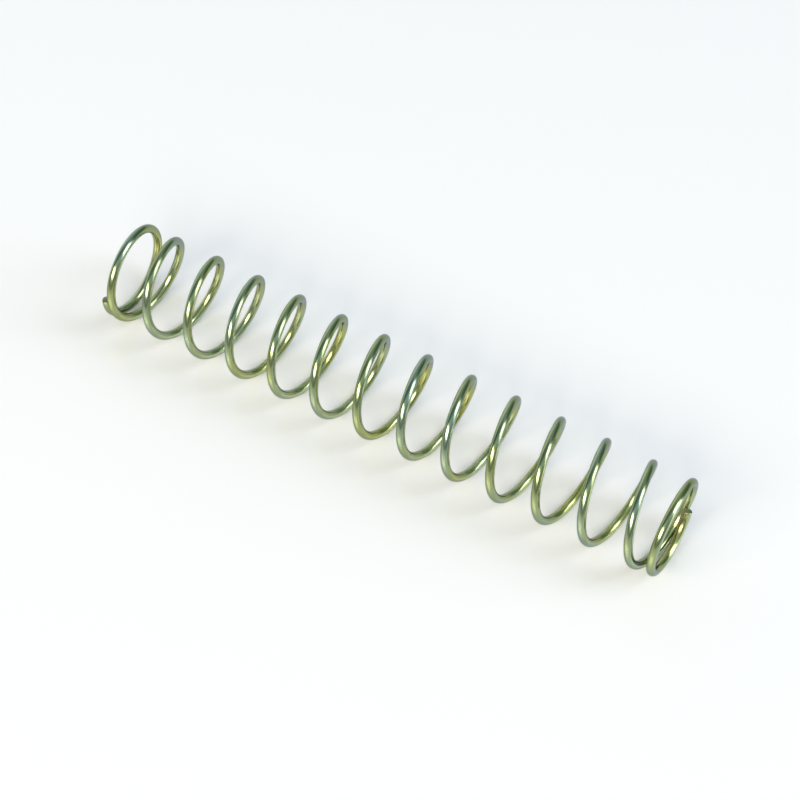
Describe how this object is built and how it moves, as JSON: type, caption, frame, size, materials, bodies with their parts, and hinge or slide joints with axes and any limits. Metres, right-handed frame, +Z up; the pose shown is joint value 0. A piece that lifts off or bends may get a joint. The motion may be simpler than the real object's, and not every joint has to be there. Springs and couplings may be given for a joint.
{
  "type": "compression spring",
  "caption": "Small round-wire compression spring, wound right-handed with an open even pitch, its ends closed but not ground and its wire cut square.",
  "frame": {"origin": "on the surface it lies on, under the middle of the coil's axis", "axes": "+X along the coil axis from the first tip to the second, +Z up, the coil lying on its side"},
  "size_m": [0.06, 0.0098, 0.0098],
  "materials": {
    "spring_wire": "bright drawn steel wire with a thin yellow-green passivated zinc coat"
  },
  "bodies": {
    "root": {"spring_wire": "spring_wire"}
  },
  "joints": []
}
